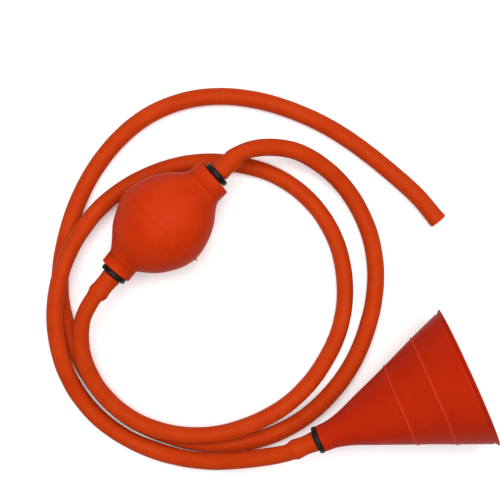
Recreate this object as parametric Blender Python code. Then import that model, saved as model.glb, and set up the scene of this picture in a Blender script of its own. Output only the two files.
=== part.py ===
"""Siphon bulb pump: a rubber squeeze bulb with a ball valve at each end, a funnel and two hoses.

Liquid poured into the funnel runs through the funnel hose to the inlet valve. Squeezing the bulb
shuts the inlet ball and drives the liquid past the outlet ball into the delivery hose.
Metres, +Z up. The floor is z = 0 and the origin is under the middle of the bulb and funnel.
"""

import math

import bmesh
import bpy
from mathutils import Matrix, Vector

# ---------------------------------------------------------------- driving dimensions, in metres
GAP = 0.0003                    # clearance that touching pieces keep
HOSE_RADIUS = 0.006             # 12 mm outside, 8 mm bore when real
BORE_RADIUS = 0.003             # waterway through the connectors

BULB_CENTRE = Vector((-0.0876, 0.0543, 0.0336))
BULB_AXIS_ANGLE = math.radians(42.5)
BULB_SEAM_RADIUS = 0.0336       # raised moulding line, which is what the bulb rests on
BULB_SEAM_HALF_WIDTH = 0.0009
BULB_SEAM_HEIGHT = 0.0008
BULB_INLET_END = -0.04535
BULB_OUTLET_END = 0.04675
COLLAR_BORE_RADIUS = 0.0070
INLET_COLLAR_RADIUS = 0.0112
INLET_COLLAR_LENGTH = 0.0079
INLET_COLLAR_EDGE = 0.0008
OUTLET_COLLAR_RADIUS = 0.0138
OUTLET_COLLAR_LENGTH = 0.0100
OUTLET_COLLAR_EDGE = 0.0011
COLLAR_FOOT_WIDENING = 0.0005   # the outlet collar is this much wider where it leaves the dome
NECK_BEND_ANGLE = math.radians(7.4)      # the inlet neck droops a little to one side
NECK_BEND_PIVOT = -0.0275
NECK_BEND_START = -0.030
NECK_BEND_END = -0.040
NECK_BORE_REACH = 0.0085        # points this close to the axis belong to the straight bore
SQUEEZE_WALL_RADIUS = 0.022
SQUEEZE_CUT_BASE = 0.005
SQUEEZE_CUT_TOP = 0.045

FLANGE_RADIUS = 0.0093
FLANGE_THICKNESS = 0.0035
FLANGE_EDGE = 0.0009
PLUG_RADIUS = COLLAR_BORE_RADIUS - GAP
PLUG_EDGE = 0.0006
VALVE_PLUG_LENGTH = 0.0182
FUNNEL_PLUG_LENGTH = 0.014
NIPPLE_RADIUS = 0.0043
NIPPLE_BEAD_RADIUS = 0.0047
NIPPLE_LENGTH = 0.0145
FUNNEL_NIPPLE_LENGTH = 0.0160
NIPPLE_TIP_WALL = 0.0007
BEAD_FOOT = 0.0040              # the bead's places are measured back from the nipple's tip
BEAD_CREST_START = 0.0032
BEAD_CREST_END = 0.0016
CUFF_BORE_RADIUS = NIPPLE_BEAD_RADIUS + GAP
CUFF_RADIUS = 0.0070
CUFF_EDGE = 0.0004
CUFF_EDGE_LENGTH = 0.0006
CUFF_TAPER_START = 0.0030       # the taper's places are measured back from the cuff's end
CUFF_TAPER_MIDDLE = 0.0010
CUFF_END_STEP = 0.0001          # the cuff ends this much wider than the hose

CHAMBER_RADIUS = 0.0050
CHAMBER_TOP = -0.0040           # distance from the flange face back into the plug
BALL_RADIUS = 0.0036
BALL_TRAVEL = 0.0030
SEAT_THICKNESS = 0.0030
SEAT_HOLE_RADIUS = 0.0024
SEAT_CHAMFER = 0.0010
CAGE_THICKNESS = 0.0016
CAGE_RING_BORE = 0.0037
CAGE_BAR_WIDTH = 0.0012
CAGE_BAR_OVERLAP = 0.0004       # each bar runs this far into the ring
CAGE_BAR_DEPTH = 0.8            # share of the ring's thickness

FUNNEL_AXIS_ANGLE = math.radians(23.9)
FUNNEL_TILT = math.radians(5.85)         # the funnel lies on its rim, narrow end low
FUNNEL_LENGTH = 0.1088
FUNNEL_RIM_RADIUS = 0.0487
FUNNEL_RING_XY = (0.0167, -0.0908)
FUNNEL_WALL = 0.0020
FUNNEL_WALL_SLANT = 0.0006      # the inside is set this far along, so the wall keeps its thickness
FUNNEL_NECK_LENGTH = 0.0150

TURNED_STEPS = 36
SMALL_STEPS = 24
HOSE_SIDES_RESOLUTION = 4
HOSE_POINT_SPACING = 0.0245
HOSE_CURVE_STEPS = 12           # steps between two route points before even spacing
HOSE_STRAIGHT_START = 0.005     # a hose leaves its connector straight for this far

# Outlines are (distance along the axis, radius).
BULB_DOME = (
    (-0.0364, 0.0117), (-0.0335, 0.0141), (-0.0285, 0.0193), (-0.0225, 0.0244), (-0.0145, 0.0289),
    (-0.0060, 0.0319), (0.0, 0.0327), (0.0060, 0.0320), (0.0145, 0.0293), (0.0225, 0.0252),
    (0.0290, 0.0203), (0.0335, 0.0165), (0.0364, 0.0147),
)
BULB_HOLLOW = (
    (0.0335, 0.0070), (0.0310, 0.0125), (0.0270, 0.0180), (0.0210, 0.0227), (0.0135, 0.0265),
    (0.0, 0.0297), (-0.0135, 0.0261), (-0.0210, 0.0221), (-0.0270, 0.0170), (-0.0310, 0.0115),
    (-0.0330, 0.0070),
)
FUNNEL_OUTSIDE = (
    (0.0021, 0.0091), (0.0105, 0.0097), (0.0200, 0.0122), (0.0320, 0.0169), (0.0600, 0.0280),
    (0.0837, 0.0377), (0.1030, 0.0454),
)
FUNNEL_THROAT = ((0.0240, 0.0114), (0.0190, 0.0090))
FUNNEL_RIB_PLACES = (0.0600, 0.0837)
FUNNEL_RIB_HEIGHT = 0.0009
FUNNEL_RIB_HALF_WIDTH = 0.0007
FUNNEL_RIB_FOOT = 0.0002        # the rib's lower foot is set into the wall
FUNNEL_RIB_HEEL = 0.0004        # its upper foot follows the wall outwards
# The rim as (distance back from the mouth, distance in from the rim's radius).
FUNNEL_RIM = ((0.0016, 0.0006), (0.0006, 0.0), (0.0, 0.0004), (0.0, 0.0024))

# Hose routes, along the middle of each hose, from the connector at the start of the flow.
FUNNEL_HOSE_ROUTE = (
    (-0.1420, -0.0105, 0.0318), (-0.1434, -0.0310, 0.0265), (-0.1375, -0.0507, 0.0215),
    (-0.1250, -0.0680, 0.0190), (-0.1058, -0.0817, 0.0185), (-0.0819, -0.0896, 0.0185),
    (-0.0570, -0.0907, 0.0178), (-0.0331, -0.0857, 0.0150), (-0.0077, -0.0739, 0.0100),
    (0.0110, -0.0580, 0.0070), (0.0261, -0.0360, 0.0060), (0.0347, -0.0142, 0.0060),
    (0.0373, 0.0100, 0.0060), (0.0330, 0.0370, 0.0060), (0.0223, 0.0592, 0.0060),
    (0.0072, 0.0762, 0.0060), (-0.0129, 0.0891, 0.0060), (-0.0380, 0.0964, 0.0060),
    (-0.0620, 0.0981, 0.0060), (-0.0869, 0.0936, 0.0060), (-0.1108, 0.0830, 0.0070),
    (-0.1299, 0.0689, 0.0105), (-0.1460, 0.0487, 0.0165), (-0.1570, 0.0260, 0.0190),
    (-0.1628, 0.0000, 0.0187), (-0.1626, -0.0199, 0.0175), (-0.1582, -0.0419, 0.0146),
    (-0.1489, -0.0630, 0.0090), (-0.1349, -0.0804, 0.0060), (-0.1159, -0.0943, 0.0060),
    (-0.0938, -0.1037, 0.0070), (-0.0709, -0.1083, 0.0130), (-0.0490, -0.1085, 0.0184),
    (-0.0270, -0.1053, 0.0268),
)
DELIVERY_HOSE_ROUTE = (
    (-0.0205, 0.1058, 0.0310), (0.0013, 0.1041, 0.0255), (0.0223, 0.0932, 0.0175),
    (0.0400, 0.0759, 0.0095), (0.0531, 0.0516, 0.0060), (0.0583, 0.0280, 0.0060),
    (0.0579, 0.0051, 0.0060), (0.0530, -0.0172, 0.0060), (0.0431, -0.0414, 0.0060),
    (0.0280, -0.0629, 0.0060), (0.0067, -0.0820, 0.0060), (-0.0190, -0.0945, 0.0060),
    (-0.0440, -0.0990, 0.0060), (-0.0680, -0.0975, 0.0060), (-0.0910, -0.0910, 0.0060),
    (-0.1125, -0.0810, 0.0060), (-0.1300, -0.0660, 0.0060), (-0.1435, -0.0470, 0.0060),
    (-0.1535, -0.0260, 0.0060), (-0.1605, -0.0020, 0.0060), (-0.1612, 0.0230, 0.0060),
    (-0.1566, 0.0479, 0.0060), (-0.1480, 0.0730, 0.0060), (-0.1339, 0.0979, 0.0060),
    (-0.1167, 0.1177, 0.0060), (-0.0978, 0.1316, 0.0060), (-0.0759, 0.1404, 0.0060),
    (-0.0520, 0.1437, 0.0060), (-0.0260, 0.1414, 0.0060), (0.0000, 0.1340, 0.0060),
    (0.0241, 0.1231, 0.0060), (0.0458, 0.1093, 0.0060), (0.0690, 0.0910, 0.0060),
    (0.0884, 0.0734, 0.0060), (0.1025, 0.0565, 0.0060),
)


# ---------------------------------------------------------------- helpers
def clear_scene():
    for obj in list(bpy.data.objects):
        bpy.data.objects.remove(obj, do_unlink=True)


def make_material(name, colour, roughness):
    material = bpy.data.materials.new(name)
    material.use_nodes = True
    shader = material.node_tree.nodes["Principled BSDF"]
    shader.inputs["Base Color"].default_value = (*colour, 1.0)
    shader.inputs["Roughness"].default_value = roughness
    shader.inputs["Metallic"].default_value = 0.0
    material.diffuse_color = (*colour, 1.0)
    return material


def make_empty(name, location, outward):
    """An empty whose local +Z points along outward."""
    empty = bpy.data.objects.new(name, None)
    bpy.context.collection.objects.link(empty)
    turn = Vector((0.0, 0.0, 1.0)).rotation_difference(Vector(outward).normalized())
    empty.rotation_mode = "QUATERNION"
    empty.location = location
    empty.rotation_quaternion = turn
    return empty


def link_mesh(name, bm, material, parent=None, sharp_degrees=35.0):
    bmesh.ops.recalc_face_normals(bm, faces=bm.faces)
    mesh = bpy.data.meshes.new(name)
    bm.to_mesh(mesh)
    bm.free()
    mesh.materials.append(material)
    mesh.shade_smooth()
    mesh.set_sharp_from_angle(angle=math.radians(sharp_degrees))
    obj = bpy.data.objects.new(name, mesh)
    bpy.context.collection.objects.link(obj)
    obj.parent = parent
    return obj


def spin_outline(outline, steps):
    """A closed outline of (distance along Z, radius), clear of the axis, turned about Z."""
    bm = bmesh.new()
    verts = [bm.verts.new((radius, 0.0, height)) for height, radius in outline]
    edges = [bm.edges.new((verts[i - 1], verts[i])) for i in range(len(verts))]
    bmesh.ops.spin(
        bm, geom=verts + edges, cent=(0.0, 0.0, 0.0), axis=(0.0, 0.0, 1.0),
        angle=math.tau, steps=steps, use_merge=True,
    )
    bmesh.ops.remove_doubles(bm, verts=bm.verts, dist=1e-6)
    return bm


def turned(name, outline, material, parent, steps=SMALL_STEPS):
    return link_mesh(name, spin_outline(outline, steps), material, parent)


def smooth_curve(points, steps_each):
    """A smooth curve (centripetal Catmull-Rom) through all the given points."""
    points = [Vector(p) for p in points]
    ends = [2.0 * points[0] - points[1]] + points + [2.0 * points[-1] - points[-2]]
    curve = []
    for p0, p1, p2, p3 in zip(ends, ends[1:], ends[2:], ends[3:]):
        t1 = math.sqrt((p1 - p0).length)
        t2 = t1 + math.sqrt((p2 - p1).length)
        t3 = t2 + math.sqrt((p3 - p2).length)
        for step in range(steps_each):
            t = t1 + (t2 - t1) * step / steps_each
            a1 = p0.lerp(p1, t / t1)
            a2 = p1.lerp(p2, (t - t1) / (t2 - t1))
            a3 = p2.lerp(p3, (t - t2) / (t3 - t2))
            b1 = a1.lerp(a2, t / t2)
            b2 = a2.lerp(a3, (t - t1) / (t3 - t1))
            curve.append(b1.lerp(b2, (t - t1) / (t2 - t1)))
    curve.append(points[-1])
    return curve


def evenly_spaced(curve, spacing):
    """Points along a curve, about spacing apart, with both its ends kept."""
    lengths = [0.0]
    for start, end in zip(curve, curve[1:]):
        lengths.append(lengths[-1] + (end - start).length)
    count = max(2, round(lengths[-1] / spacing))
    picked = []
    index = 0
    for step in range(count + 1):
        target = lengths[-1] * step / count
        while index < len(curve) - 2 and lengths[index + 1] < target:
            index += 1
        share = (target - lengths[index]) / (lengths[index + 1] - lengths[index])
        picked.append(curve[index].lerp(curve[index + 1], share))
    return picked


def smooth_outline(outline, steps_each):
    flat = smooth_curve([(along, radius, 0.0) for along, radius in outline], steps_each)
    return [(point.x, point.y) for point in flat]


# ---------------------------------------------------------------- the bulb
def bulb_outline():
    """The bulb's closed outline: dome, seam, outlet collar, waterway and hollow."""
    before = [point for point in BULB_DOME if point[0] < -BULB_SEAM_HALF_WIDTH]
    after = [point for point in BULB_DOME if point[0] > BULB_SEAM_HALF_WIDTH]
    seam_foot = BULB_SEAM_RADIUS - BULB_SEAM_HEIGHT
    seam = [
        (-BULB_SEAM_HALF_WIDTH, seam_foot), (-BULB_SEAM_HALF_WIDTH * 0.4, BULB_SEAM_RADIUS),
        (BULB_SEAM_HALF_WIDTH * 0.4, BULB_SEAM_RADIUS), (BULB_SEAM_HALF_WIDTH, seam_foot),
    ]
    outlet = [
        (BULB_OUTLET_END - OUTLET_COLLAR_LENGTH, OUTLET_COLLAR_RADIUS + COLLAR_FOOT_WIDENING),
        (BULB_OUTLET_END - OUTLET_COLLAR_EDGE, OUTLET_COLLAR_RADIUS),
        (BULB_OUTLET_END, OUTLET_COLLAR_RADIUS - OUTLET_COLLAR_EDGE),
        (BULB_OUTLET_END, COLLAR_BORE_RADIUS),
    ]
    inlet = [
        (BULB_INLET_END, COLLAR_BORE_RADIUS),
        (BULB_INLET_END, INLET_COLLAR_RADIUS - INLET_COLLAR_EDGE),
        (BULB_INLET_END + INLET_COLLAR_EDGE, INLET_COLLAR_RADIUS),
        (BULB_INLET_END + INLET_COLLAR_LENGTH, INLET_COLLAR_RADIUS),
    ]
    return before + seam + after + outlet + list(BULB_HOLLOW) + inlet


def bend_inlet_neck(bm):
    """Turns the inlet end sideways about a point on the axis, smoothly along the neck."""
    pivot = Vector((0.0, 0.0, NECK_BEND_PIVOT))
    for vert in bm.verts:
        share = (vert.co.z - NECK_BEND_START) / (NECK_BEND_END - NECK_BEND_START)
        share = min(max(share, 0.0), 1.0)
        share = share * share * (3.0 - 2.0 * share)
        if vert.co.z < 0.0 and math.hypot(vert.co.x, vert.co.y) < NECK_BORE_REACH:
            share = 1.0
        turn = Matrix.Rotation(NECK_BEND_ANGLE * share, 3, "Y")
        vert.co = pivot + turn @ (vert.co - pivot)


def bulb_shell(name, material):
    bm = spin_outline(bulb_outline(), TURNED_STEPS)
    bend_inlet_neck(bm)
    to_world = (
        Matrix.Translation(BULB_CENTRE)
        @ Matrix.Rotation(BULB_AXIS_ANGLE, 4, "Z")
        @ Matrix(((0, 0, 1, 0), (1, 0, 0, 0), (0, 1, 0, 0), (0, 0, 0, 1)))
    )
    bm.transform(to_world)
    return link_mesh(name, bm, material)


def vertical_cutter(name, radius):
    bm = bmesh.new()
    bmesh.ops.create_cone(
        bm, cap_ends=True, segments=SMALL_STEPS * 2, radius1=radius, radius2=radius,
        depth=SQUEEZE_CUT_TOP - SQUEEZE_CUT_BASE,
    )
    middle = (SQUEEZE_CUT_TOP + SQUEEZE_CUT_BASE) / 2.0
    bm.transform(Matrix.Translation(BULB_CENTRE + Vector((0.0, 0.0, middle))))
    cutter = link_mesh(name, bm, bpy.data.materials["guide"])
    cutter.hide_render = True
    cutter.display_type = "WIRE"
    return cutter


def cut(obj, cutter, operation):
    modifier = obj.modifiers.new("cut", "BOOLEAN")
    modifier.operation = operation
    modifier.object = cutter
    modifier.solver = "EXACT"


def make_bulb(rubber):
    body = bulb_shell("bulb_body", rubber)
    cut(body, vertical_cutter("wall_hole_cutter", SQUEEZE_WALL_RADIUS + GAP), "DIFFERENCE")
    wall = bulb_shell("bulb_squeeze_wall", rubber)
    cut(wall, vertical_cutter("wall_cutter", SQUEEZE_WALL_RADIUS), "INTERSECT")


# ---------------------------------------------------------------- connectors, cuffs and valves
def connector_outline(plug_length, nipple_length, chamber):
    """Plug, flange and hose nipple round one waterway; 0 is the flange's plug-side face."""
    tip = FLANGE_THICKNESS + nipple_length
    outline = [
        (-plug_length + PLUG_EDGE, PLUG_RADIUS), (0.0, PLUG_RADIUS), (0.0, FLANGE_RADIUS - FLANGE_EDGE),
        (FLANGE_EDGE * 0.3, FLANGE_RADIUS - FLANGE_EDGE * 0.3), (FLANGE_EDGE, FLANGE_RADIUS),
        (FLANGE_THICKNESS - FLANGE_EDGE, FLANGE_RADIUS),
        (FLANGE_THICKNESS - FLANGE_EDGE * 0.3, FLANGE_RADIUS - FLANGE_EDGE * 0.3),
        (FLANGE_THICKNESS, FLANGE_RADIUS - FLANGE_EDGE), (FLANGE_THICKNESS, NIPPLE_RADIUS),
        (tip - BEAD_FOOT, NIPPLE_RADIUS), (tip - BEAD_CREST_START, NIPPLE_BEAD_RADIUS),
        (tip - BEAD_CREST_END, NIPPLE_BEAD_RADIUS), (tip, BORE_RADIUS + NIPPLE_TIP_WALL),
        (tip, BORE_RADIUS),
    ]
    if chamber:
        outline += [(CHAMBER_TOP, BORE_RADIUS), (CHAMBER_TOP, CHAMBER_RADIUS)]
        outline += [(-plug_length, CHAMBER_RADIUS)]
    else:
        outline += [(-plug_length, BORE_RADIUS)]
    return outline + [(-plug_length, PLUG_RADIUS - PLUG_EDGE)]


def cuff_outline(nipple_length):
    """The hose's end, stretched over the nipple."""
    start = FLANGE_THICKNESS + GAP
    end = FLANGE_THICKNESS + nipple_length
    return [
        (start, CUFF_BORE_RADIUS), (start, CUFF_RADIUS - CUFF_EDGE),
        (start + CUFF_EDGE_LENGTH, CUFF_RADIUS), (end - CUFF_TAPER_START, CUFF_RADIUS),
        (end - CUFF_TAPER_MIDDLE, CUFF_RADIUS - CUFF_EDGE), (end, HOSE_RADIUS + CUFF_END_STEP),
        (end, CUFF_BORE_RADIUS),
    ]


def seat_outline(back, face):
    """A valve seat from its flat back to the face that holds the ball, chamfered there."""
    inward = math.copysign(SEAT_CHAMFER, back - face)
    outside = CHAMBER_RADIUS - GAP
    return [
        (back, SEAT_HOLE_RADIUS), (back, outside), (face, outside),
        (face, SEAT_HOLE_RADIUS + SEAT_CHAMFER), (face + inward, SEAT_HOLE_RADIUS),
    ]


def make_ball(name, place, material, parent):
    bm = bmesh.new()
    bmesh.ops.create_uvsphere(bm, u_segments=20, v_segments=12, radius=BALL_RADIUS)
    ball = link_mesh(name, bm, material, parent, 60.0)
    ball.location = (0.0, 0.0, place)
    return ball


def make_cage(name, low, material, parent):
    """A ring with a cross of two bars, which stops the ball and lets the liquid by."""
    high = low + CAGE_THICKNESS
    ring = [
        (low, CAGE_RING_BORE), (low, CHAMBER_RADIUS - GAP),
        (high, CHAMBER_RADIUS - GAP), (high, CAGE_RING_BORE),
    ]
    cage = turned(name, ring, material, parent)
    for side, turn in (("a", 0.0), ("b", math.pi / 2.0)):
        bm = bmesh.new()
        bmesh.ops.create_cube(bm, size=1.0)
        length = 2.0 * (CAGE_RING_BORE + CAGE_BAR_OVERLAP)
        size = Matrix.Diagonal((length, CAGE_BAR_WIDTH, CAGE_THICKNESS * CAGE_BAR_DEPTH, 1.0))
        bm.transform(Matrix.Rotation(turn, 4, "Z") @ size)
        bar = link_mesh(f"{name}_bar_guide_{side}", bm, bpy.data.materials["guide"], parent)
        bar.location = (0.0, 0.0, (low + high) / 2.0)
        bar.hide_render = True
        bar.display_type = "WIRE"
        cut(cage, bar, "UNION")


def ball_rest_distance():
    """From the seat's face to the middle of the ball that rests on its 45 degree chamfer."""
    reach = (BALL_RADIUS + GAP) * math.sqrt(2.0)
    return reach - SEAT_HOLE_RADIUS - SEAT_CHAMFER


def make_valve(side, parent, materials, seat_at_hose_side):
    chamber_low = -VALVE_PLUG_LENGTH + GAP
    chamber_high = CHAMBER_TOP - GAP
    if seat_at_hose_side:
        back, face = chamber_high, chamber_high - SEAT_THICKNESS
        ball = face - ball_rest_distance()
        cage_low = ball - BALL_TRAVEL - BALL_RADIUS - GAP - CAGE_THICKNESS
    else:
        back, face = chamber_low, chamber_low + SEAT_THICKNESS
        ball = face + ball_rest_distance()
        cage_low = ball + BALL_TRAVEL + BALL_RADIUS + GAP
    turned(f"{side}_valve_seat", seat_outline(back, face), materials["seat"], parent)
    make_ball(f"{side}_valve_ball", ball, materials["ball"], parent)
    make_cage(f"{side}_valve_cage", cage_low, materials["black"], parent)


def make_connector(side, place, outward, nipple_length, materials, seat_at_hose_side=None):
    """A flanged connector at place, the flange's plug-side face, with its cuff and any valve."""
    parent = make_empty(f"{side}_axis", place, outward)
    has_valve = seat_at_hose_side is not None
    plug = VALVE_PLUG_LENGTH if has_valve else FUNNEL_PLUG_LENGTH
    outline = connector_outline(plug, nipple_length, has_valve)
    turned(f"{side}_connector", outline, materials["black"], parent)
    turned(f"{side}_hose_cuff", cuff_outline(nipple_length), materials["hose"], parent)
    if has_valve:
        make_valve(side, parent, materials, seat_at_hose_side)
    exit_distance = FLANGE_THICKNESS + nipple_length + GAP
    hose_exit = Vector(place) + Vector(outward).normalized() * exit_distance
    return hose_exit, hose_exit + Vector(outward).normalized() * HOSE_STRAIGHT_START


# ---------------------------------------------------------------- the funnel
def funnel_outline():
    outside = smooth_outline(FUNNEL_OUTSIDE[:4], 2)[:-1]
    inside_places = []
    for along, radius in FUNNEL_OUTSIDE[3:]:
        if along in FUNNEL_RIB_PLACES:
            outside += [
                (along - FUNNEL_RIB_HALF_WIDTH, radius - FUNNEL_RIB_FOOT),
                (along - FUNNEL_RIB_HALF_WIDTH * 0.4, radius + FUNNEL_RIB_HEIGHT),
                (along + FUNNEL_RIB_HALF_WIDTH * 0.4, radius + FUNNEL_RIB_HEIGHT),
                (along + FUNNEL_RIB_HALF_WIDTH, radius + FUNNEL_RIB_HEEL),
            ]
        else:
            outside.append((along, radius))
        inside_places.append((along + FUNNEL_WALL_SLANT, radius - FUNNEL_WALL))
    rim = [(FUNNEL_LENGTH - back, FUNNEL_RIM_RADIUS - inward) for back, inward in FUNNEL_RIM]
    neck = [
        *FUNNEL_THROAT, (FUNNEL_NECK_LENGTH, COLLAR_BORE_RADIUS),
        (FUNNEL_OUTSIDE[0][0], COLLAR_BORE_RADIUS),
    ]
    return outside + rim + inside_places[::-1] + neck


def funnel_direction():
    level = math.cos(FUNNEL_TILT)
    return Vector((
        math.cos(FUNNEL_AXIS_ANGLE) * level, math.sin(FUNNEL_AXIS_ANGLE) * level, math.sin(FUNNEL_TILT),
    ))


def funnel_ring_centre():
    """The height puts the lowest point of the rim on the floor."""
    rim_centre_height = FUNNEL_RIM_RADIUS * math.cos(FUNNEL_TILT)
    widest = FUNNEL_LENGTH - FUNNEL_RIM[1][0]
    height = rim_centre_height - widest * math.sin(FUNNEL_TILT)
    return Vector((*FUNNEL_RING_XY, height))


def make_funnel(rubber):
    parent = make_empty("funnel_axis_of_cone", funnel_ring_centre(), funnel_direction())
    turned("funnel", funnel_outline(), rubber, parent, TURNED_STEPS)


# ---------------------------------------------------------------- the hoses
def make_hose(name, start, route, far_end, material):
    """A tube along a smooth curve through its route.

    start is the hose's end at a connector and the point straight out from it. far_end is the
    same at the other connector, or empty at a free end. Both straight ends are kept as they are.
    """
    smooth = smooth_curve((*start, *route, *far_end[::-1]), HOSE_CURVE_STEPS)
    last = -HOSE_CURVE_STEPS if far_end else None
    between = evenly_spaced(smooth[HOSE_CURVE_STEPS:last], HOSE_POINT_SPACING)
    points = [start[0], *between, *far_end[:1]]
    curve = bpy.data.curves.new(name, "CURVE")
    curve.dimensions = "3D"
    curve.bevel_depth = HOSE_RADIUS
    curve.bevel_resolution = HOSE_SIDES_RESOLUTION
    curve.use_fill_caps = True
    curve.materials.append(material)
    spline = curve.splines.new("POLY")
    spline.points.add(len(points) - 1)
    for target, point in zip(spline.points, points):
        target.co = (point.x, point.y, max(point.z, HOSE_RADIUS), 1.0)
    spline.use_smooth = True
    hose = bpy.data.objects.new(name, curve)
    bpy.context.collection.objects.link(hose)


def bulb_direction(turn=0.0):
    angle = BULB_AXIS_ANGLE + turn
    return Vector((math.cos(angle), math.sin(angle), 0.0))


def main():
    clear_scene()
    make_material("guide", (0.5, 0.5, 0.5), 0.5)
    materials = {
        "bulb": make_material("bulb_rubber", (0.62, 0.045, 0.010), 0.5),
        "funnel": make_material("funnel_rubber", (0.48, 0.025, 0.008), 0.5),
        "hose": make_material("hose_rubber", (0.65, 0.065, 0.012), 0.45),
        "black": make_material("black_plastic", (0.012, 0.012, 0.013), 0.35),
        "seat": make_material("seat_rubber", (0.35, 0.03, 0.01), 0.6),
        "ball": make_material("ball_steel", (0.62, 0.62, 0.64), 0.25),
    }
    materials["ball"].node_tree.nodes["Principled BSDF"].inputs["Metallic"].default_value = 1.0

    make_bulb(materials["bulb"])
    outlet_way = bulb_direction()
    outlet_face = BULB_CENTRE + outlet_way * (BULB_OUTLET_END + GAP)
    inlet_way = -bulb_direction(NECK_BEND_ANGLE)
    inlet_pivot = BULB_CENTRE + outlet_way * NECK_BEND_PIVOT
    inlet_face = inlet_pivot + inlet_way * (NECK_BEND_PIVOT - BULB_INLET_END + GAP)
    funnel_way = -funnel_direction()
    funnel_face = funnel_ring_centre() - funnel_way * (FUNNEL_OUTSIDE[0][0] - GAP)

    inlet_exit = make_connector("inlet", inlet_face, inlet_way, NIPPLE_LENGTH, materials, True)
    outlet_exit = make_connector("outlet", outlet_face, outlet_way, NIPPLE_LENGTH, materials, False)
    funnel_exit = make_connector("funnel", funnel_face, funnel_way, FUNNEL_NIPPLE_LENGTH, materials)
    make_funnel(materials["funnel"])

    make_hose("funnel_hose", inlet_exit, FUNNEL_HOSE_ROUTE, funnel_exit, materials["hose"])
    make_hose("delivery_hose", outlet_exit, DELIVERY_HOSE_ROUTE, (), materials["hose"])


main()
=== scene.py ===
"""Siphon bulb pump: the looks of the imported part.

The bulb is one moulded rubber skin over the bulb body and its squeeze wall. The two hoses are
rubber skins stretched over the connectors' nipples, and only the free end shows a bore. The
funnel and the three flanged connectors are turned from fine outlines. The valve parts inside
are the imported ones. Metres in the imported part's frame, +Z up.
"""

import math

import bpy
from mathutils import Matrix, Vector, noise


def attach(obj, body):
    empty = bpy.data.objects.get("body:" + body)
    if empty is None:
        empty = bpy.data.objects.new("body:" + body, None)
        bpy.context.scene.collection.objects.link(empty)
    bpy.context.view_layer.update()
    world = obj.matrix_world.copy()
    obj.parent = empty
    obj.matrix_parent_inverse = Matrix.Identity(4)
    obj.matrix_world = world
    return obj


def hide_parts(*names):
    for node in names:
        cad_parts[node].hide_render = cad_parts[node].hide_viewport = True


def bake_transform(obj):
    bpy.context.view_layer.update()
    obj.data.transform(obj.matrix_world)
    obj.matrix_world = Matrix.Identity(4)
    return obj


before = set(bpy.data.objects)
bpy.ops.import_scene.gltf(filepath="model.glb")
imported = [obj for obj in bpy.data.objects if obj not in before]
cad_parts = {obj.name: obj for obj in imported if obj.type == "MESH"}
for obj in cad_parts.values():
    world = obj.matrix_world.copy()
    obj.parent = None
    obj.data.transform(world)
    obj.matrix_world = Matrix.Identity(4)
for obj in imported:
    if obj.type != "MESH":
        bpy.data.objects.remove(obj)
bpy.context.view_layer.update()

# ---------------------------------------------------------------- dimensions, in metres
FLOOR_Z = -0.0002                # a hair below z = 0, which the object stands on

CAMERA_PLACE = Vector((-0.0290, 0.0365, 0.8000))
CAMERA_LENS = 81.9               # millimetres, on a 36 mm sensor
CAMERA_SENSOR = 36.0

SOFTBOX_WIDTH = 1.20
SOFTBOX_DEPTH = 0.90
SOFTBOXES = (                    # name, place and power in watts
    ("key_softbox", (-0.22, 0.42, 1.45), 22.5),
    ("top_softbox", (0.28, -0.15, 1.50), 16.0),
)
STUDIO_BRIGHTNESS = 0.12
FLOOR_REACH = 6.0
FLOOR_GLOW = 0.13

BULB_CENTRE = Vector((-0.0876, 0.0543, 0.0336))
BULB_AXIS_ANGLE = math.radians(42.5)
BULB_INLET_END = -0.04535
BULB_OUTLET_END = 0.04675
NECK_BEND_ANGLE = math.radians(7.4)
NECK_BEND_PIVOT = -0.0275
NECK_BEND_START = -0.030         # the inlet neck turns aside between these two places
NECK_BEND_END = -0.040
NECK_BORE_REACH = 0.0085         # points this close to the axis belong to the straight bore
COLLAR_SHIFT = 0.0005            # the inlet collar's middle is this far off its bore's
NECK_BORE_RADIUS = 0.0069
NECK_BORE_DEPTH = 0.0130
NECK_BORE_EDGE = 0.0005
INLET_COLLAR_RADIUS = 0.0112
INLET_COLLAR_EDGE = 0.0007
INLET_COLLAR_FOOT = -0.0370
INLET_COLLAR_WIDENING = 0.0001   # each collar is a little wider at its foot
OUTLET_COLLAR_RADIUS = 0.0138
OUTLET_COLLAR_EDGE = 0.0010
OUTLET_COLLAR_FOOT = 0.0366
OUTLET_COLLAR_WIDENING = 0.0005
OUTLET_FACE_SLANT = 0.0006       # the outlet collar's face slants back this far
SEAM_HEIGHT = 0.00032
SEAM_HALF_WIDTH = 0.00045
SEAM_SHIFT = 0.0018              # the moulding line runs a little askew round the bulb
SEAM_SHIFT_REACH = 0.009
SEAM_TAB_HEIGHT = 0.0017         # trimmed flash left where the mould's halves met
SEAM_TAB_HALF_WIDTH = 0.045      # radians round the bulb
SEAM_TAB_TURNS = (3.09, 0.12)
BULB_SAG = Vector((-0.0002, 0.0002, -0.0005))
BULB_SAG_REACH = 0.026
BULB_UNEVENNESS = 0.00020
BULB_WAVES = 55.0                # waves of unevenness in a metre

FLANGE_RADIUS = 0.0093
FLANGE_THICKNESS = 0.0035
FLANGE_EDGE = 0.0011
FLANGE_CROWN = 0.0001
FLANGE_CROWN_EDGE = 0.0004
PLUG_RADIUS = 0.0067
PLUG_EDGE = 0.0006
NIPPLE_RADIUS = 0.0043
NIPPLE_EDGE = 0.0003
NIPPLE_TIP_WALL = 0.0007
BARB_HEIGHT = 0.0005
BARB_FOOT = 0.0045               # the barb's places are measured back from the nipple's tip
BARB_CREST = 0.0035
WATERWAY_EDGE = 0.0002
NIPPLE_LENGTH = 0.0145
FUNNEL_NIPPLE_LENGTH = 0.0160
WATERWAY_RADIUS = 0.0030
VALVE_PLUG_LENGTH = 0.0182
FUNNEL_PLUG_LENGTH = 0.0140
GAP = 0.0003                     # on either side of a connector's flange
CONNECTOR_SHARP_ANGLE = math.radians(40.0)

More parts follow.
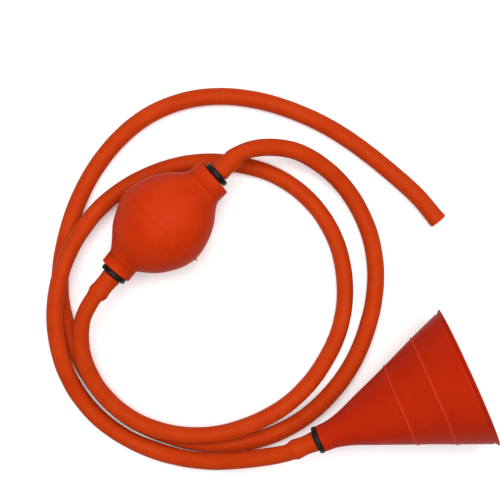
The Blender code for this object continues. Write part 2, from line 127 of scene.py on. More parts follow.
FUNNEL_AXIS_ANGLE = math.radians(23.9)
FUNNEL_TILT = math.radians(5.85)
FUNNEL_LENGTH = 0.1088
FUNNEL_RIM_RADIUS = 0.0487
FUNNEL_RING_XY = (0.0167, -0.0908)   # the middle of the funnel connector's flange
FUNNEL_WALL = 0.0020
FUNNEL_WALL_START_SHARE = 0.55   # the wall starts at this share of its thickness and then grows
FUNNEL_WALL_GROWTH_LENGTH = 0.25 # it would gain one whole thickness over this length
FUNNEL_RIB_PLACES = (0.0600, 0.0837)
FUNNEL_RIB_HEIGHT = 0.0007
FUNNEL_RIB_HALF_WIDTH = 0.00075
FUNNEL_NECK_START = 0.0021
FUNNEL_GROOVE_PLACE = 0.1060     # a shallow groove sets off the flared lip
FUNNEL_GROOVE_DEPTH = 0.0006
FUNNEL_GROOVE_HALF_WIDTH = 0.0007
FUNNEL_RIM_LEAN = 0.0008         # the soft upper rim leans out this far
FUNNEL_LEAN_POWER = 4            # the lean is felt mostly near the rim
FUNNEL_WIDEST_BACK = 0.0006      # the rim is widest this far back from the mouth
FUNNEL_UNEVENNESS = 0.00030
FUNNEL_WAVES = 28.0              # waves of unevenness in a metre
FUNNEL_STIFF_LENGTH = 0.06       # the unevenness grows over this length from the neck
FUNNEL_INSIDE_START = 0.024      # the inside follows the outside between these two places
FUNNEL_INSIDE_END = 0.105
FUNNEL_THROAT_RADIUS = 0.0116
FUNNEL_NECK_END = 0.0150
FUNNEL_NECK_ROUNDING = 0.0030
FUNNEL_NECK_FACE = (0.0088, 0.0091)   # radii near the outer edge of the neck's end face
FUNNEL_EDGE = 0.0004             # rounds the lip's edges and the neck's bore edge
LIP_BACK = 0.0009
LIP_THICKNESS = 0.0022
LIP_INSET = 0.0002
LIP_INSIDE_RADIUS = 0.0455

HOSE_RADIUS = 0.0060
HOSE_BORE_RADIUS = 0.0039
HOSE_BORE_DEPTH = 0.0300
HOSE_STRAIGHT = 0.0050           # a hose runs straight this far past its nipple
HOSE_RING_SPACING = 0.0020
CUFF_RING_SPACING = 0.0006
CUFF_RINGS = 39
HOSE_MOUTH_GAP = 0.0002          # the stretched end starts this far off the nipple
HOSE_SIDES = 40
HOSE_END_ROUNDING = 0.0010
HOSE_END_START = HOSE_END_ROUNDING * 1.01   # the cut end starts a hair before its rounding
HOSE_BORE_ROUNDING = HOSE_END_ROUNDING * 0.4
HOSE_UNEVENNESS = 0.00010
HOSE_WAVES = 90.0                # waves of unevenness in a metre
FUNNEL_HOSE_FLATTENING = 0.0038  # a bend of this radius would lose the whole width
DELIVERY_HOSE_FLATTENING = 0.0010
HOSE_MOST_FLATTENING = 0.10
TURNED_STEPS = 144
BULB_DOME_STEPS = 10
FUNNEL_OUTSIDE_STEPS = 14
HOSE_CURVE_STEPS = 16
RIDGE_RINGS = 3.0                # rings across the half width of a raised line

# (distance from the flange, radius) of a hose end stretched over its nipple.
CUFF_OUTLINE = (
    (0.0000, 0.00615), (0.0010, 0.00650), (0.0030, 0.00665), (0.0060, 0.00640), (0.0090, 0.00640),
    (0.0120, 0.00675), (0.0142, 0.00705), (0.0158, 0.00695), (0.0172, 0.00630), (0.0190, 0.00585),
    (0.0240, 0.00580), (0.0340, 0.00600),
)

# (distance along the axis, radius) of the bulb between its collars.
BULB_DOME = (
    (-0.0370, 0.01135), (-0.0360, 0.0119), (-0.0340, 0.0136), (-0.0310, 0.0167), (-0.0280, 0.0198),
    (-0.0250, 0.0225), (-0.0220, 0.0247), (-0.0190, 0.0265), (-0.0145, 0.0289), (-0.0100, 0.0307),
    (-0.0060, 0.0319), (0.0, 0.0327), (0.0060, 0.0320), (0.0100, 0.0309), (0.0145, 0.0293),
    (0.0190, 0.0272), (0.0230, 0.0249), (0.0260, 0.0229), (0.0290, 0.0203), (0.0320, 0.0177),
    (0.0350, 0.0153), (0.0366, 0.0146),
)
FUNNEL_OUTSIDE = (
    (0.0021, 0.0091), (0.0105, 0.0097), (0.0200, 0.0122), (0.0320, 0.0169), (0.0600, 0.0280),
    (0.0837, 0.0377), (0.1030, 0.0454), (0.1072, 0.0472),
)
FUNNEL_HOSE_ROUTE = (
    (-0.1420, -0.0105, 0.0318), (-0.1434, -0.0310, 0.0265), (-0.1375, -0.0507, 0.0215),
    (-0.1250, -0.0680, 0.0190), (-0.1058, -0.0817, 0.0185), (-0.0819, -0.0896, 0.0185),
    (-0.0570, -0.0907, 0.0178), (-0.0331, -0.0857, 0.0150), (-0.0077, -0.0739, 0.0100),
    (0.0110, -0.0580, 0.0070), (0.0261, -0.0360, 0.0060), (0.0347, -0.0142, 0.0060),
    (0.0373, 0.0100, 0.0060), (0.0330, 0.0370, 0.0060), (0.0223, 0.0592, 0.0060),
    (0.0072, 0.0762, 0.0060), (-0.0129, 0.0891, 0.0060), (-0.0380, 0.0964, 0.0060),
    (-0.0620, 0.0981, 0.0060), (-0.0869, 0.0936, 0.0060), (-0.1108, 0.0830, 0.0070),
    (-0.1299, 0.0689, 0.0105), (-0.1460, 0.0487, 0.0165), (-0.1570, 0.0260, 0.0190),
    (-0.1628, 0.0000, 0.0187), (-0.1626, -0.0199, 0.0175), (-0.1582, -0.0419, 0.0146),
    (-0.1489, -0.0630, 0.0090), (-0.1349, -0.0804, 0.0060), (-0.1159, -0.0943, 0.0060),
    (-0.0938, -0.1037, 0.0070), (-0.0709, -0.1083, 0.0130), (-0.0490, -0.1085, 0.0184),
    (-0.0270, -0.1053, 0.0268),
)
DELIVERY_HOSE_ROUTE = (
    (-0.0205, 0.1058, 0.0310), (0.0013, 0.1041, 0.0255), (0.0223, 0.0932, 0.0175),
    (0.0400, 0.0759, 0.0095), (0.0531, 0.0516, 0.0060), (0.0583, 0.0280, 0.0060),
    (0.0579, 0.0051, 0.0060), (0.0530, -0.0172, 0.0060), (0.0431, -0.0414, 0.0060),
    (0.0280, -0.0629, 0.0060), (0.0067, -0.0820, 0.0060), (-0.0190, -0.0945, 0.0060),
    (-0.0440, -0.0990, 0.0060), (-0.0680, -0.0975, 0.0060), (-0.0910, -0.0910, 0.0060),
    (-0.1125, -0.0810, 0.0060), (-0.1300, -0.0660, 0.0060), (-0.1435, -0.0470, 0.0060),
    (-0.1535, -0.0260, 0.0060), (-0.1605, -0.0020, 0.0060), (-0.1612, 0.0230, 0.0060),
    (-0.1566, 0.0479, 0.0060), (-0.1480, 0.0730, 0.0060), (-0.1339, 0.0979, 0.0060),
    (-0.1167, 0.1177, 0.0060), (-0.0978, 0.1316, 0.0060), (-0.0759, 0.1404, 0.0060),
    (-0.0520, 0.1437, 0.0060), (-0.0260, 0.1414, 0.0060), (0.0000, 0.1340, 0.0060),
    (0.0241, 0.1231, 0.0060), (0.0458, 0.1093, 0.0060), (0.0690, 0.0910, 0.0060),
    (0.0884, 0.0734, 0.0060), (0.1025, 0.0565, 0.0060),
)


# ---------------------------------------------------------------- camera and lights
def make_camera():
    data = bpy.data.cameras.new("camera")
    data.lens = CAMERA_LENS
    data.sensor_width = CAMERA_SENSOR
    data.clip_start = 0.01
    data.clip_end = 20.0
    camera = bpy.data.objects.new("camera", data)
    camera.location = CAMERA_PLACE
    bpy.context.collection.objects.link(camera)
    bpy.context.scene.camera = camera


def make_softbox(name, place, power):
    """A soft rectangular light that faces the middle of the object."""
    data = bpy.data.lights.new(name, "AREA")
    data.shape = "RECTANGLE"
    data.size = SOFTBOX_WIDTH
    data.size_y = SOFTBOX_DEPTH
    data.energy = power
    light = bpy.data.objects.new(name, data)
    light.location = place
    light.rotation_mode = "QUATERNION"
    light.rotation_quaternion = (-Vector(place)).to_track_quat("-Z", "Y")
    bpy.context.collection.objects.link(light)


def make_lights():
    for name, place, power in SOFTBOXES:
        make_softbox(name, place, power)
    world = bpy.data.worlds.new("studio")
    world.use_nodes = True
    background = world.node_tree.nodes["Background"]
    background.inputs["Color"].default_value = (1.0, 1.0, 1.0, 1.0)
    background.inputs["Strength"].default_value = STUDIO_BRIGHTNESS
    bpy.context.scene.world = world
    bpy.context.scene.view_settings.view_transform = "Standard"


# ---------------------------------------------------------------- curves and outlines
def smooth_curve(points, steps_each):
    """A smooth curve (centripetal Catmull-Rom) through all the given points."""
    points = [Vector(p) for p in points]
    ends = [2.0 * points[0] - points[1]] + points + [2.0 * points[-1] - points[-2]]
    curve = []
    for p0, p1, p2, p3 in zip(ends, ends[1:], ends[2:], ends[3:]):
        t1 = math.sqrt((p1 - p0).length)
        t2 = t1 + math.sqrt((p2 - p1).length)
        t3 = t2 + math.sqrt((p3 - p2).length)
        for step in range(steps_each):
            t = t1 + (t2 - t1) * step / steps_each
            a1 = p0.lerp(p1, t / t1)
            a2 = p1.lerp(p2, (t - t1) / (t2 - t1))
            a3 = p2.lerp(p3, (t - t2) / (t3 - t2))
            b1 = a1.lerp(a2, t / t2)
            b2 = a2.lerp(a3, (t - t1) / (t3 - t1))
            curve.append(b1.lerp(b2, (t - t1) / (t2 - t1)))
    curve.append(points[-1])
    return curve


def smooth_outline(outline, steps_each):
    flat = smooth_curve([(along, radius, 0.0) for along, radius in outline], steps_each)
    return [(point.x, point.y) for point in flat]


def rounded(corners, steps=6):
    """An outline of (along, radius, rounding) corners, each rounded by an arc-like curve."""
    outline = []
    for index, (along, radius, rounding) in enumerate(corners):
        here = Vector((along, radius))
        if rounding == 0.0 or index in (0, len(corners) - 1):
            outline.append((along, radius))
            continue
        before = Vector(corners[index - 1][:2])
        after = Vector(corners[index + 1][:2])
        low = here + (before - here).normalized() * rounding
        high = here + (after - here).normalized() * rounding
        for step in range(steps + 1):
            share = step / steps
            point = low.lerp(here, share).lerp(here.lerp(high, share), share)
            outline.append((point.x, point.y))
    return outline


def read_outline(outline, place):
    """The radius that an outline of (along, radius) has at a place along it."""
    for (low, low_radius), (high, high_radius) in zip(outline, outline[1:]):
        if place <= high:
            share = (place - low) / (high - low)
            return low_radius + (high_radius - low_radius) * min(max(share, 0.0), 1.0)
    return outline[-1][1]


# ---------------------------------------------------------------- meshes
def ring_skin(name, rings, straight, material, cap_end=False, crests=()):
    """A mesh through closed rings of points.

    straight holds, for each point, where it would be if the piece were straight along +Z. The
    materials read it, so that their grain follows a hose round its bends. crests are the places
    along it of raised ribs, on whose tops the rubber gets a paler painted highlight.
    """
    sides = len(rings[0])
    points = [point for ring in rings for point in ring]
    places = [place for ring in straight for place in ring]
    faces = []
    for row in range(len(rings) - 1):
        for side in range(sides):
            following = (side + 1) % sides
            faces.append((
                row * sides + side, row * sides + following,
                (row + 1) * sides + following, (row + 1) * sides + side,
            ))
    if cap_end:
        last = (len(rings) - 1) * sides
        faces.append(tuple(last + side for side in range(sides)))
    mesh = bpy.data.meshes.new(name)
    mesh.from_pydata(points, [], faces)
    attribute = mesh.attributes.new("straight", "FLOAT_VECTOR", "POINT")
    attribute.data.foreach_set("vector", [value for place in places for value in place])
    # painted highlight: how near each point is to a rib's crest, where the rubber is painted paler
    rib_highlight = mesh.attributes.new("rib_highlight", "FLOAT", "POINT")
    for index, place in enumerate(places):
        rib_highlight.data[index].value = sum(
            soft_bump(place.z - crest, FUNNEL_RIB_HALF_WIDTH) for crest in crests)
    mesh.materials.append(material)
    mesh.shade_smooth()
    obj = bpy.data.objects.new(name, mesh)
    bpy.context.collection.objects.link(obj)
    return obj


def turn_outline(outline, steps):
    """Rings about +Z from an outline of (along, radius)."""
    rings = []
    for along, radius in outline:
        ring = []
        for step in range(steps):
            turn = math.tau * step / steps
            ring.append(Vector((radius * math.cos(turn), radius * math.sin(turn), along)))
        rings.append(ring)
    return rings


def placed(place, outward):
    turn = Vector((0.0, 0.0, 1.0)).rotation_difference(Vector(outward).normalized())
    return Matrix.Translation(place) @ turn.to_matrix().to_4x4()


def soft_bump(value, half_width):
    return math.exp(-(value / half_width) ** 2)


# ---------------------------------------------------------------- the bulb
def bulb_outline():
    inlet = rounded((
        (BULB_INLET_END + NECK_BORE_DEPTH, NECK_BORE_RADIUS, 0.0),
        (BULB_INLET_END, NECK_BORE_RADIUS, NECK_BORE_EDGE),
        (BULB_INLET_END, INLET_COLLAR_RADIUS, INLET_COLLAR_EDGE),
        (INLET_COLLAR_FOOT, INLET_COLLAR_RADIUS + INLET_COLLAR_WIDENING, 0.0),
    ))
    outlet = rounded((
        (OUTLET_COLLAR_FOOT, OUTLET_COLLAR_RADIUS + OUTLET_COLLAR_WIDENING, 0.0),
        (BULB_OUTLET_END - OUTLET_FACE_SLANT, OUTLET_COLLAR_RADIUS, OUTLET_COLLAR_EDGE),
        (BULB_OUTLET_END, NECK_BORE_RADIUS, NECK_BORE_EDGE),
        (BULB_OUTLET_END - NECK_BORE_DEPTH, NECK_BORE_RADIUS, 0.0),
    ))
    dome = smooth_outline(BULB_DOME, BULB_DOME_STEPS)
    seam = [step * SEAM_HALF_WIDTH / RIDGE_RINGS for step in range(-9, 10)]
    near = seam[-1]
    low = [point for point in dome if point[0] < -near]
    high = [point for point in dome if point[0] > near]
    middle = [(place, read_outline(dome, place)) for place in seam]
    return inlet + low + middle + high + outlet


def bend_neck(point):
    """Where the sideways droop of the inlet neck puts a point of the straight bulb."""
    share = (point.z - NECK_BEND_START) / (NECK_BEND_END - NECK_BEND_START)
    share = min(max(share, 0.0), 1.0)
    share = share * share * (3.0 - 2.0 * share)
    shift = Vector((COLLAR_SHIFT * share, 0.0, 0.0))
    if point.z < 0.0 and math.hypot(point.x, point.y) < NECK_BORE_REACH:
        share = 1.0
        shift = Vector((0.0, 0.0, 0.0))
    pivot = Vector((0.0, 0.0, NECK_BEND_PIVOT))
    return pivot + Matrix.Rotation(NECK_BEND_ANGLE * share, 3, "Y") @ (point - pivot) + shift


def make_bulb(material):
    """The whole bulb as one skin, with its raised moulding line and slightly uneven wall."""
    straight = turn_outline(bulb_outline(), TURNED_STEPS)
    to_world = (
        Matrix.Translation(BULB_CENTRE)
        @ Matrix.Rotation(BULB_AXIS_ANGLE, 4, "Z")
        @ Matrix(((0, 0, 1, 0), (1, 0, 0, 0), (0, 1, 0, 0), (0, 0, 0, 1)))
    )
    rings = []
    for ring in straight:
        moved = []
        for point in ring:
            outward = Vector((point.x, point.y, 0.0)).normalized()
            turn = math.atan2(point.y, point.x)
            height = SEAM_HEIGHT
            for tab in SEAM_TAB_TURNS:
                away = math.remainder(turn - tab, math.tau)
                height += SEAM_TAB_HEIGHT * soft_bump(away, SEAM_TAB_HALF_WIDTH)
            raised = height * soft_bump(point.z, SEAM_HALF_WIDTH)
            body = soft_bump(point.z, BULB_SAG_REACH)
            raised += BULB_UNEVENNESS * body * noise.noise(point * BULB_WAVES)
            askew = -SEAM_SHIFT * (1.0 + math.cos(turn)) * soft_bump(point.z, SEAM_SHIFT_REACH)
            shaped = bend_neck(point + outward * raised + Vector((0.0, 0.0, askew)))
            moved.append(to_world @ shaped + BULB_SAG * body)
        rings.append(moved)
    bulb = ring_skin("bulb_skin", rings, straight, material)
    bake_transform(bulb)
    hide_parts("bulb_body", "bulb_squeeze_wall")


# ---------------------------------------------------------------- connectors
def connector_outline(plug_length, nipple_length):
    """Plug, rounded flange and barbed nipple; 0 is the flange's plug-side face."""
    tip = FLANGE_THICKNESS + nipple_length
    return rounded((
        (-plug_length, WATERWAY_RADIUS, 0.0),
        (-plug_length, PLUG_RADIUS, PLUG_EDGE),
        (0.0, PLUG_RADIUS, 0.0),
        (0.0, FLANGE_RADIUS, FLANGE_EDGE),
        (FLANGE_THICKNESS * 0.5, FLANGE_RADIUS + FLANGE_CROWN, FLANGE_CROWN_EDGE),
        (FLANGE_THICKNESS, FLANGE_RADIUS, FLANGE_EDGE),
        (FLANGE_THICKNESS, NIPPLE_RADIUS, NIPPLE_EDGE),
        (tip - BARB_FOOT, NIPPLE_RADIUS, NIPPLE_EDGE),
        (tip - BARB_CREST, NIPPLE_RADIUS + BARB_HEIGHT, NIPPLE_EDGE),
        (tip, WATERWAY_RADIUS + NIPPLE_TIP_WALL, NIPPLE_EDGE),
        (tip, WATERWAY_RADIUS, WATERWAY_EDGE),
        (-plug_length, WATERWAY_RADIUS, 0.0),
    ))


def make_connector(side, place, outward, plug_length, nipple_length, material):
    """Makes a connector and returns its hose's first three points.

    They are at the flange, at the nipple's tip, and a little beyond it.
    """
    straight = turn_outline(connector_outline(plug_length, nipple_length), TURNED_STEPS)
    matrix = placed(place, outward)
    rings = [[matrix @ point for point in ring] for ring in straight]
    connector = ring_skin(f"{side}_flanged_connector", rings, straight, material)
    connector.data.set_sharp_from_angle(angle=CONNECTOR_SHARP_ANGLE)
    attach(connector, "pump")
    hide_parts(f"{side}_connector")
    way = Vector(outward).normalized()
    reaches = (FLANGE_THICKNESS + GAP, FLANGE_THICKNESS + nipple_length)
    return [Vector(place) + way * reach for reach in (*reaches, reaches[1] + HOSE_STRAIGHT)]


# ---------------------------------------------------------------- the funnel
def funnel_outline():
    """Outside with two ribs and a groove, a thin flared lip, and the inside back to the neck."""
    outside = smooth_outline(FUNNEL_OUTSIDE, FUNNEL_OUTSIDE_STEPS)
    ribbed = []
    fine = FUNNEL_RIB_HALF_WIDTH / RIDGE_RINGS
    places = [along for along, _ in outside]
    places += [rib + fine * step for rib in FUNNEL_RIB_PLACES for step in range(-7, 8)]
    places += [FUNNEL_GROOVE_PLACE + fine * step for step in range(-7, 5)]
    for along in sorted(places):
        radius = read_outline(outside, along)
        for rib in FUNNEL_RIB_PLACES:
            radius += FUNNEL_RIB_HEIGHT * soft_bump(along - rib, FUNNEL_RIB_HALF_WIDTH)
        groove = soft_bump(along - FUNNEL_GROOVE_PLACE, FUNNEL_GROOVE_HALF_WIDTH)
        radius -= FUNNEL_GROOVE_DEPTH * groove
        ribbed.append((along, radius))
    lip_foot, lip_foot_radius = FUNNEL_OUTSIDE[-1]
    lip = rounded((
        (lip_foot, lip_foot_radius, 0.0),
        (FUNNEL_LENGTH - LIP_BACK, FUNNEL_RIM_RADIUS - 2.0 * LIP_INSET, FUNNEL_EDGE),
        (FUNNEL_LENGTH, FUNNEL_RIM_RADIUS - LIP_INSET, FUNNEL_EDGE),
        (FUNNEL_LENGTH, FUNNEL_RIM_RADIUS - LIP_THICKNESS, FUNNEL_EDGE),
        (lip_foot, LIP_INSIDE_RADIUS, 0.0),
    ))
    inside = [
        (along, radius - FUNNEL_WALL * wall_share(along))
        for along, radius in reversed(outside) if FUNNEL_INSIDE_START < along < FUNNEL_INSIDE_END
    ]
    neck = rounded((
        (FUNNEL_INSIDE_START, FUNNEL_THROAT_RADIUS, 0.0),
        (FUNNEL_NECK_END, NECK_BORE_RADIUS, FUNNEL_NECK_ROUNDING),
        (FUNNEL_NECK_START, NECK_BORE_RADIUS, FUNNEL_EDGE),
        (FUNNEL_NECK_START, FUNNEL_NECK_FACE[0], 0.0), (FUNNEL_NECK_START, FUNNEL_NECK_FACE[1], 0.0),
    ))
    return ribbed + lip + inside + neck


def wall_share(along):
    """The share of its full thickness that the funnel's wall has."""
    return min(1.0, FUNNEL_WALL_START_SHARE + along / FUNNEL_WALL_GROWTH_LENGTH)


def funnel_direction():
    level = math.cos(FUNNEL_TILT)
    return Vector((
        math.cos(FUNNEL_AXIS_ANGLE) * level, math.sin(FUNNEL_AXIS_ANGLE) * level,
        math.sin(FUNNEL_TILT),
    ))


def funnel_ring_centre():
    """The height puts the lowest point of the rim on the floor."""
    rim_centre_height = FUNNEL_RIM_RADIUS * math.cos(FUNNEL_TILT)
    height = rim_centre_height - (FUNNEL_LENGTH - FUNNEL_WIDEST_BACK) * math.sin(FUNNEL_TILT)
    return Vector((*FUNNEL_RING_XY, height))


def make_funnel(material):
    straight = turn_outline(funnel_outline(), TURNED_STEPS)
    matrix = placed(funnel_ring_centre(), funnel_direction())
    rings = []
    for ring in straight:
        moved = []
        for point in ring:
            outward = Vector((point.x, point.y, 0.0)).normalized()
            share = min(point.z / FUNNEL_STIFF_LENGTH, 1.0)
            uneven = FUNNEL_UNEVENNESS * share * noise.noise(point * FUNNEL_WAVES)
            upward = max(0.0, (matrix.to_3x3() @ outward).z)
            lean = FUNNEL_RIM_LEAN * upward * (point.z / FUNNEL_LENGTH) ** FUNNEL_LEAN_POWER
            moved.append(matrix @ (point + outward * uneven + Vector((0.0, 0.0, lean))))
        rings.append(moved)
    funnel = ring_skin("funnel_skin", rings, straight, material, crests=FUNNEL_RIB_PLACES)
    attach(funnel, "pump")
    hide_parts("funnel")


# ---------------------------------------------------------------- the hoses
class HosePath:
    """A hose's middle line, read by the distance along it."""

    def __init__(self, points):
        self.curve = smooth_curve(points, HOSE_CURVE_STEPS)
        self.lengths = [0.0]
        for start, end in zip(self.curve, self.curve[1:]):
            self.lengths.append(self.lengths[-1] + (end - start).length)
        self.length = self.lengths[-1]

    def point(self, place):
        place = min(max(place, 0.0), self.length)
        low, high = 0, len(self.lengths) - 1
        while high - low > 1:
            middle = (low + high) // 2
            if self.lengths[middle] <= place:
                low = middle
            else:
                high = middle
        share = (place - self.lengths[low]) / (self.lengths[high] - self.lengths[low])
        return self.curve[low].lerp(self.curve[high], share)

    def direction(self, place, reach=0.002):
        return (self.point(place + reach) - self.point(place - reach)).normalized()

    def bend(self, place, reach=0.008):
        """The curvature, towards the inside of the bend, in 1/m."""
        change = self.direction(place + reach / 2.0) - self.direction(place - reach / 2.0)
        return change / reach


def hose_outline(length, both_ends):
    """(along, radius) down the outside of a hose from its flanged end."""
    outline = [(0.0, NIPPLE_RADIUS + HOSE_MOUTH_GAP)]
    count = round(length / HOSE_RING_SPACING)
    places = [length * step / count for step in range(count + 1)]
    cuff_places = [CUFF_RING_SPACING * step for step in range(1, CUFF_RINGS + 1)]
    places += cuff_places
    if both_ends:
        places += [length - place for place in cuff_places]
    else:
        places = [place for place in places if place < length - HOSE_END_ROUNDING]
    for place in sorted(places):
        radius = read_outline(CUFF_OUTLINE, place)
        if both_ends:
            far = read_outline(CUFF_OUTLINE, length - place)
            radius = far if place > length / 2.0 else radius
        outline.append((place, radius))
    if both_ends:
        return outline + [(length, NIPPLE_RADIUS + HOSE_MOUTH_GAP)]
    cut_end = rounded((
        (length - HOSE_END_START, HOSE_RADIUS, 0.0),
        (length, HOSE_RADIUS, HOSE_END_ROUNDING),
        (length, HOSE_BORE_RADIUS, HOSE_BORE_ROUNDING),
        (length - HOSE_BORE_DEPTH, HOSE_BORE_RADIUS, 0.0),
    ))
    bore = [
        (length - HOSE_RING_SPACING * step, HOSE_BORE_RADIUS)
        for step in range(1, round(HOSE_BORE_DEPTH / HOSE_RING_SPACING))
    ]
    return outline + cut_end[:-1] + bore


def hose_ring(path, along, radius, flattening):
    """One ring round the hose, flatter across a bend, and never below z = 0."""
    way = path.direction(along)
    side = way.cross(Vector((0.0, 0.0, 1.0))).normalized()
    up = side.cross(way)
    bend = path.bend(along)
    inward = bend.normalized() if bend.length > 0.0 else side
    flatness = min(flattening * bend.length, HOSE_MOST_FLATTENING)
    ring = []
    places = []
    for step in range(HOSE_SIDES):
        turn = math.tau * step / HOSE_SIDES
        spoke = side * math.cos(turn) + up * math.sin(turn)
        across = spoke.dot(inward)
        reach = radius * (1.0 + flatness * (0.5 - 1.5 * across * across))
        wave = Vector((along * HOSE_WAVES, math.cos(turn), math.sin(turn)))
        uneven = HOSE_UNEVENNESS * noise.noise(wave)
        ring.append(path.point(along) + spoke * (reach + uneven))
        places.append(Vector((radius * math.cos(turn), radius * math.sin(turn), along)))
    lift = max(0.0, -min(point.z for point in ring))
    for point in ring:
        point.z += lift
    return ring, places


def make_hose(name, points, both_ends, flattening, nodes, material):
    path = HosePath(points)
    rings = []
    straight = []
    for along, radius in hose_outline(path.length, both_ends):
        ring, places = hose_ring(path, along, radius, flattening)
        rings.append(ring)
        straight.append(places)
    hose = ring_skin(name, rings, straight, material, cap_end=not both_ends)
    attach(hose, "pump")
    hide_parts(*nodes)


# ---------------------------------------------------------------- materials
class Graph:
    """Builds a material's nodes by short calls."""

    def __init__(self, name):
        self.material = bpy.data.materials.new(name)
        self.material.use_nodes = True
        self.tree = self.material.node_tree
        self.shader = self.tree.nodes["Principled BSDF"]

    def link(self, source, target):
        self.tree.links.new(source, target)

    def attribute(self, name, output):
        node = self.tree.nodes.new("ShaderNodeAttribute")
        node.attribute_name = name
        return node.outputs[output]

    def straight(self):
        return self.attribute("straight", "Vector")

    # where the painted highlight on the ribs' tops falls
    def rib_highlight(self):
        return self.attribute("rib_highlight", "Fac")

    def object_place(self):
        return self.tree.nodes.new("ShaderNodeTexCoord").outputs["Object"]

    def stretched(self, vector, scale):
        node = self.tree.nodes.new("ShaderNodeMapping")
        node.inputs["Scale"].default_value = scale
        self.link(vector, node.inputs["Vector"])
        return node.outputs["Vector"]

    def noise(self, vector, scale, detail=3.0, roughness=0.55, distortion=0.0):
        node = self.tree.nodes.new("ShaderNodeTexNoise")
        node.inputs["Scale"].default_value = scale
        node.inputs["Detail"].default_value = detail
        node.inputs["Roughness"].default_value = roughness
        node.inputs["Distortion"].default_value = distortion
        self.link(vector, node.inputs["Vector"])
        return node.outputs["Fac"]

    def levels(self, value, low, high, to_low, to_high):
        node = self.tree.nodes.new("ShaderNodeMapRange")
        node.inputs["From Min"].default_value = low
        node.inputs["From Max"].default_value = high
        node.inputs["To Min"].default_value = to_low
        node.inputs["To Max"].default_value = to_high
        self.link(value, node.inputs["Value"])
        return node.outputs["Result"]

    def mix(self, factor, first, second):
        node = self.tree.nodes.new("ShaderNodeMix")
        node.data_type = "RGBA"
        self.link(factor, node.inputs["Factor"])
        sockets = [s for s in node.inputs if s.type == "RGBA"]
        for socket, value in zip(sockets, (first, second)):
            if isinstance(value, tuple):
                socket.default_value = (*value, 1.0)
            else:
                self.link(value, socket)
        return [s for s in node.outputs if s.type == "RGBA"][0]

    def bump(self, height, strength, distance, before=None):
        node = self.tree.nodes.new("ShaderNodeBump")
        node.inputs["Strength"].default_value = strength
        node.inputs["Distance"].default_value = distance
        self.link(height, node.inputs["Height"])
        if before is not None:
            self.link(before, node.inputs["Normal"])
        return node.outputs["Normal"]


def make_rubber(name, colour, dark, pale, grain, drawn, bloom):
    """Moulded rubber with a matte skin.

    colour is mottled with dark. pale shows in the grain, as strongly as drawn says, and in the
    powdery bloom, as strongly as bloom says. A brighter pale is painted on the ribs' tops as a
    painted highlight. grain is how fine it is along x, y and z.
    """
    graph = Graph(name)
    straight = graph.straight()
    mottle = graph.noise(straight, 55.0, detail=4.0, roughness=0.6, distortion=0.4)
    base = graph.mix(graph.levels(mottle, 0.30, 0.62, 0.55, 1.0), dark, colour)
    streak = graph.noise(graph.stretched(straight, grain), 1.0, roughness=0.6)
    base = graph.mix(graph.levels(streak, 0.52, 0.75, 0.0, drawn), base, pale)
    powder = graph.noise(straight, 130.0, detail=6.0, roughness=0.7, distortion=1.2)
    base = graph.mix(graph.levels(powder, 0.55, 0.80, 0.0, bloom), base, pale)
    speck = graph.noise(straight, 1400.0, detail=2.0, roughness=0.5)
    base = graph.mix(graph.levels(speck, 0.60, 0.78, 0.0, 0.22), base, dark)
    # painted highlight: a brighter pale band painted on the ribs' tops
    wear_and_highlight = tuple(1.25 * value for value in pale)
    base = graph.mix(graph.levels(graph.rib_highlight(), 0.1, 1.0, 0.0, 0.5), base, wear_and_highlight)
    graph.link(base, graph.shader.inputs["Base Color"])
    graph.link(graph.levels(powder, 0.3, 0.75, 0.40, 0.52), graph.shader.inputs["Roughness"])
    coarse = graph.bump(streak, strength=0.35, distance=0.00012)
    skin = graph.noise(straight, 2600.0, roughness=0.6)
    fine = graph.bump(skin, strength=0.30, distance=0.00006, before=coarse)
    graph.link(fine, graph.shader.inputs["Normal"])
    graph.shader.inputs["IOR"].default_value = 1.085
    return graph.material


def make_black_plastic():
    graph = Graph("black_moulded_plastic")
    straight = graph.straight()
    wear = graph.noise(straight, 260.0, detail=5.0, roughness=0.65, distortion=0.6)
    wear_and_highlight = graph.levels(wear, 0.45, 0.75, 0.0, 1.0)
    base = graph.mix(wear_and_highlight, (0.006, 0.006, 0.007), (0.022, 0.021, 0.021))
    graph.link(base, graph.shader.inputs["Base Color"])
    graph.link(graph.levels(wear, 0.3, 0.7, 0.24, 0.42), graph.shader.inputs["Roughness"])
    rings = graph.noise(graph.stretched(straight, (60.0, 60.0, 2400.0)), 1.0, detail=2.0)
    turned = graph.bump(rings, strength=0.25, distance=0.00008)
    graph.link(turned, graph.shader.inputs["Normal"])
    graph.shader.inputs["Specular IOR Level"].default_value = 0.07
    return graph.material


def make_inner_material(name, dark, light, metallic, smoothest):
    """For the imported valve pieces, which carry no straightened places of their own."""
    graph = Graph(name)
    place = graph.object_place()
    stain = graph.noise(place, 420.0, detail=5.0, roughness=0.6, distortion=0.5)
    graph.link(graph.mix(stain, dark, light), graph.shader.inputs["Base Color"])
    rough = graph.levels(stain, 0.3, 0.7, smoothest, smoothest + 0.15)
    graph.link(rough, graph.shader.inputs["Roughness"])
    fine = graph.bump(graph.noise(place, 3000.0), strength=0.2, distance=0.00004)
    graph.link(fine, graph.shader.inputs["Normal"])
    graph.shader.inputs["Metallic"].default_value = metallic
    return graph.material


def dress(node, material):
    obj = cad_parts[node]
    obj.data.materials.clear()
    obj.data.materials.append(material)


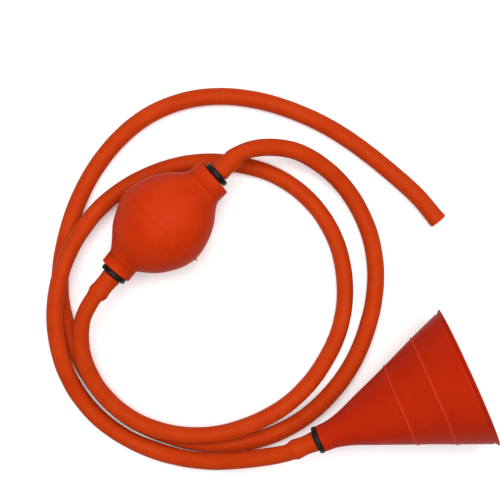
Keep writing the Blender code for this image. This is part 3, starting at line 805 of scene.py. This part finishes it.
def make_floor():
    material = bpy.data.materials.new("pale_floor")
    material.use_nodes = True
    shader = material.node_tree.nodes["Principled BSDF"]
    shader.inputs["Base Color"].default_value = (0.86, 0.86, 0.86, 1.0)
    shader.inputs["Roughness"].default_value = 0.9
    shader.inputs["Specular IOR Level"].default_value = 0.1
    shader.inputs["Emission Color"].default_value = (1.0, 1.0, 1.0, 1.0)
    shader.inputs["Emission Strength"].default_value = FLOOR_GLOW
    mesh = bpy.data.meshes.new("floor")
    signs = ((-1, -1), (1, -1), (1, 1), (-1, 1))
    corners = [(x * FLOOR_REACH, y * FLOOR_REACH, FLOOR_Z) for x, y in signs]
    mesh.from_pydata(corners, [], [(0, 1, 2, 3)])
    mesh.materials.append(material)
    floor = bpy.data.objects.new("floor", mesh)
    bpy.context.collection.objects.link(floor)


# ---------------------------------------------------------------- the whole scene
def bulb_direction(turn=0.0):
    angle = BULB_AXIS_ANGLE + turn
    return Vector((math.cos(angle), math.sin(angle), 0.0))


def main():
    make_camera()
    hose_rubber = make_rubber(
        "hose_rubber", colour=(0.41, 0.034, 0.0030), dark=(0.33, 0.020, 0.0018),
        pale=(0.46, 0.054, 0.009), grain=(420.0, 420.0, 30.0), drawn=0.35, bloom=0.16,
    )
    bulb_rubber = make_rubber(
        "bulb_rubber", colour=(0.43, 0.0275, 0.0028), dark=(0.35, 0.0160, 0.0016),
        pale=(0.47, 0.047, 0.009), grain=(120.0, 120.0, 150.0), drawn=0.25, bloom=0.14,
    )
    funnel_rubber = make_rubber(
        "funnel_rubber", colour=(0.360, 0.0155, 0.0025), dark=(0.30, 0.0105, 0.0015),
        pale=(0.41, 0.031, 0.008), grain=(60.0, 60.0, 420.0), drawn=0.15, bloom=0.14,
    )
    black = make_black_plastic()

    outlet_way = bulb_direction()
    outlet_face = BULB_CENTRE + outlet_way * (BULB_OUTLET_END + GAP)
    inlet_way = -bulb_direction(NECK_BEND_ANGLE)
    inlet_pivot = BULB_CENTRE + outlet_way * NECK_BEND_PIVOT
    inlet_face = inlet_pivot + inlet_way * (NECK_BEND_PIVOT - BULB_INLET_END + GAP)
    funnel_way = -funnel_direction()
    funnel_face = funnel_ring_centre() - funnel_way * (FUNNEL_NECK_START - GAP)

    inlet = make_connector(
        "inlet", inlet_face, inlet_way, VALVE_PLUG_LENGTH, NIPPLE_LENGTH, black)
    outlet = make_connector(
        "outlet", outlet_face, outlet_way, VALVE_PLUG_LENGTH, NIPPLE_LENGTH, black)
    funnel = make_connector(
        "funnel", funnel_face, funnel_way, FUNNEL_PLUG_LENGTH, FUNNEL_NIPPLE_LENGTH, black)

    make_hose(
        "funnel_hose_tube", [*inlet, *FUNNEL_HOSE_ROUTE, *funnel[::-1]], True,
        FUNNEL_HOSE_FLATTENING, ("funnel_hose", "inlet_hose_cuff", "funnel_hose_cuff"), hose_rubber,
    )
    make_hose(
        "delivery_hose_tube", [*outlet, *DELIVERY_HOSE_ROUTE], False,
        DELIVERY_HOSE_FLATTENING, ("delivery_hose", "outlet_hose_cuff"), hose_rubber,
    )
    make_bulb(bulb_rubber)
    make_funnel(funnel_rubber)

    seat = make_inner_material(
        "seat_rubber", dark=(0.30, 0.025, 0.008), light=(0.42, 0.045, 0.015),
        metallic=0.0, smoothest=0.55,
    )
    steel = make_inner_material(
        "ball_steel", dark=(0.50, 0.50, 0.52), light=(0.68, 0.68, 0.70),
        metallic=1.0, smoothest=0.18,
    )
    cage = make_inner_material(
        "cage_plastic", dark=(0.008, 0.008, 0.009), light=(0.03, 0.03, 0.03),
        metallic=0.0, smoothest=0.40,
    )
    for side in ("inlet", "outlet"):
        dress(f"{side}_valve_seat", seat)
        dress(f"{side}_valve_ball", steel)
        dress(f"{side}_valve_cage", cage)

    make_floor()
    make_lights()


main()
